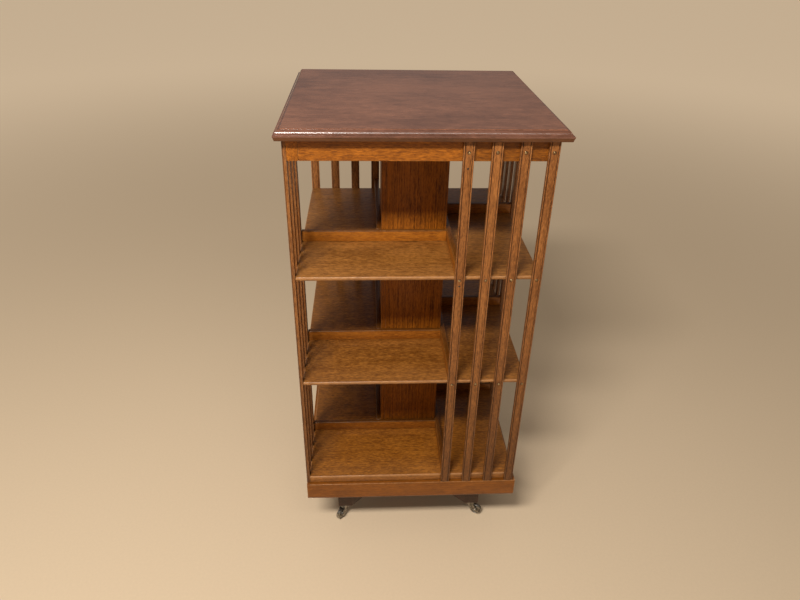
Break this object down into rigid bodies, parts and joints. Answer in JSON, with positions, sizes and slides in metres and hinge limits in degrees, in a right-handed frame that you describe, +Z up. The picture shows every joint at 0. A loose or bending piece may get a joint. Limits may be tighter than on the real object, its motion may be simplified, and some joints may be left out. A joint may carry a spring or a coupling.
{
  "type": "revolving bookcase",
  "caption": "Square three-tier revolving bookcase in wood: slatted faces round a central column, open book compartments, and a cross base on small castors.",
  "frame": {"origin": "on the floor, on the spindle's axis, below the middle of the top board", "axes": "+Z up along the spindle; -Y towards the face seen in front, whose slats are on its right (+X)"},
  "size_m": [0.508, 0.508, 1.016],
  "materials": {
    "polished_oak": "red-brown stained oak, French polished to a soft shine",
    "frieze_oak": "golden oak, polished",
    "shelf_oak": "golden brown oak, satin, with worn pale arrises",
    "column_oak": "dark red-brown stained oak, satin",
    "stop_oak": "golden brown oak, satin",
    "slat_oak": "red-brown oak, polished, worn along the beads",
    "plinth_oak": "red-brown oak, satin",
    "dark_wood": "nearly black stained hardwood, dull",
    "steel": "turned bright steel, oiled",
    "dark_iron": "black cast iron",
    "castor_metal": "darkened brass, tarnished grey-brown"
  },
  "bodies": {
    "base": {"base_arm_lower": "dark_wood", "base_arm_upper": "dark_wood", "spindle_flange": "dark_iron", "spindle": "steel"},
    "case": {"top_board": "polished_oak", "shelf_upper": "shelf_oak", "shelf_middle": "shelf_oak", "bottom_board": "shelf_oak", "head_block": "dark_wood", "pivot_cup": "dark_iron", "guide_bush": "dark_iron", "frieze_rail_front": "frieze_oak", "frieze_rail_right": "frieze_oak", "frieze_rail_back": "frieze_oak", "frieze_rail_left": "frieze_oak", "column_board_front": "column_oak", "column_board_right": "column_oak", "column_board_back": "column_oak", "column_board_left": "column_oak", "book_stop_upper_front": "stop_oak", "book_stop_upper_right": "stop_oak", "book_stop_upper_back": "stop_oak", "book_stop_upper_left": "stop_oak", "book_stop_middle_front": "stop_oak", "book_stop_middle_right": "stop_oak", "book_stop_middle_back": "stop_oak", "book_stop_middle_left": "stop_oak", "book_stop_lower_front": "stop_oak", "book_stop_lower_right": "stop_oak", "book_stop_lower_back": "stop_oak", "book_stop_lower_left": "stop_oak", "slat_front_1": "slat_oak", "slat_front_2": "slat_oak", "slat_front_3": "slat_oak", "slat_front_4": "slat_oak", "slat_right_1": "slat_oak", "slat_right_2": "slat_oak", "slat_right_3": "slat_oak", "slat_right_4": "slat_oak", "slat_back_1": "slat_oak", "slat_back_2": "slat_oak", "slat_back_3": "slat_oak", "slat_back_4": "slat_oak", "slat_left_1": "slat_oak", "slat_left_2": "slat_oak", "slat_left_3": "slat_oak", "slat_left_4": "slat_oak", "plinth_rail_front": "plinth_oak", "plinth_rail_right": "plinth_oak", "plinth_rail_back": "plinth_oak", "plinth_rail_left": "plinth_oak"},
    "castor_front_left": {"castor_horn_front_left": "castor_metal"},
    "wheel_front_left": {"castor_wheel_front_left": "castor_metal"},
    "castor_front_right": {"castor_horn_front_right": "castor_metal"},
    "wheel_front_right": {"castor_wheel_front_right": "castor_metal"},
    "castor_back_right": {"castor_horn_back_right": "castor_metal"},
    "wheel_back_right": {"castor_wheel_back_right": "castor_metal"},
    "castor_back_left": {"castor_horn_back_left": "castor_metal"},
    "wheel_back_left": {"castor_wheel_back_left": "castor_metal"}
  },
  "joints": [
    {"name": "case_spin", "type": "hinge", "parent": "base", "child": "case", "pos_m": [0, 0, 0.5], "axis": [0, 0, 1], "continuous": true},
    {"name": "castor_swivel_front_left", "type": "hinge", "parent": "base", "child": "castor_front_left", "pos_m": [-0.15698, -0.15698, 0.041], "axis": [0, 0, 1], "continuous": true},
    {"name": "wheel_spin_front_left", "type": "hinge", "parent": "castor_front_left", "child": "wheel_front_left", "pos_m": [-0.16983, -0.1723, 0.015], "axis": [0.766, -0.6428, 0], "continuous": true},
    {"name": "castor_swivel_front_right", "type": "hinge", "parent": "base", "child": "castor_front_right", "pos_m": [0.15698, -0.15698, 0.041], "axis": [0, 0, 1], "continuous": true},
    {"name": "wheel_spin_front_right", "type": "hinge", "parent": "castor_front_right", "child": "wheel_front_right", "pos_m": [0.17394, -0.16758, 0.015], "axis": [0.5299, 0.848, 0], "continuous": true},
    {"name": "castor_swivel_back_right", "type": "hinge", "parent": "base", "child": "castor_back_right", "pos_m": [0.15698, 0.15698, 0.041], "axis": [0, 0, 1], "continuous": true},
    {"name": "wheel_spin_back_right", "type": "hinge", "parent": "castor_back_right", "child": "wheel_back_right", "pos_m": [0.16929, 0.17274, 0.015], "axis": [-0.788, 0.6157, 0], "continuous": true},
    {"name": "castor_swivel_back_left", "type": "hinge", "parent": "base", "child": "castor_back_left", "pos_m": [-0.15698, 0.15698, 0.041], "axis": [0, 0, 1], "continuous": true},
    {"name": "wheel_spin_back_left", "type": "hinge", "parent": "castor_back_left", "child": "wheel_back_left", "pos_m": [-0.17252, 0.16956, 0.015], "axis": [-0.6293, -0.7771, 0], "continuous": true}
  ]
}
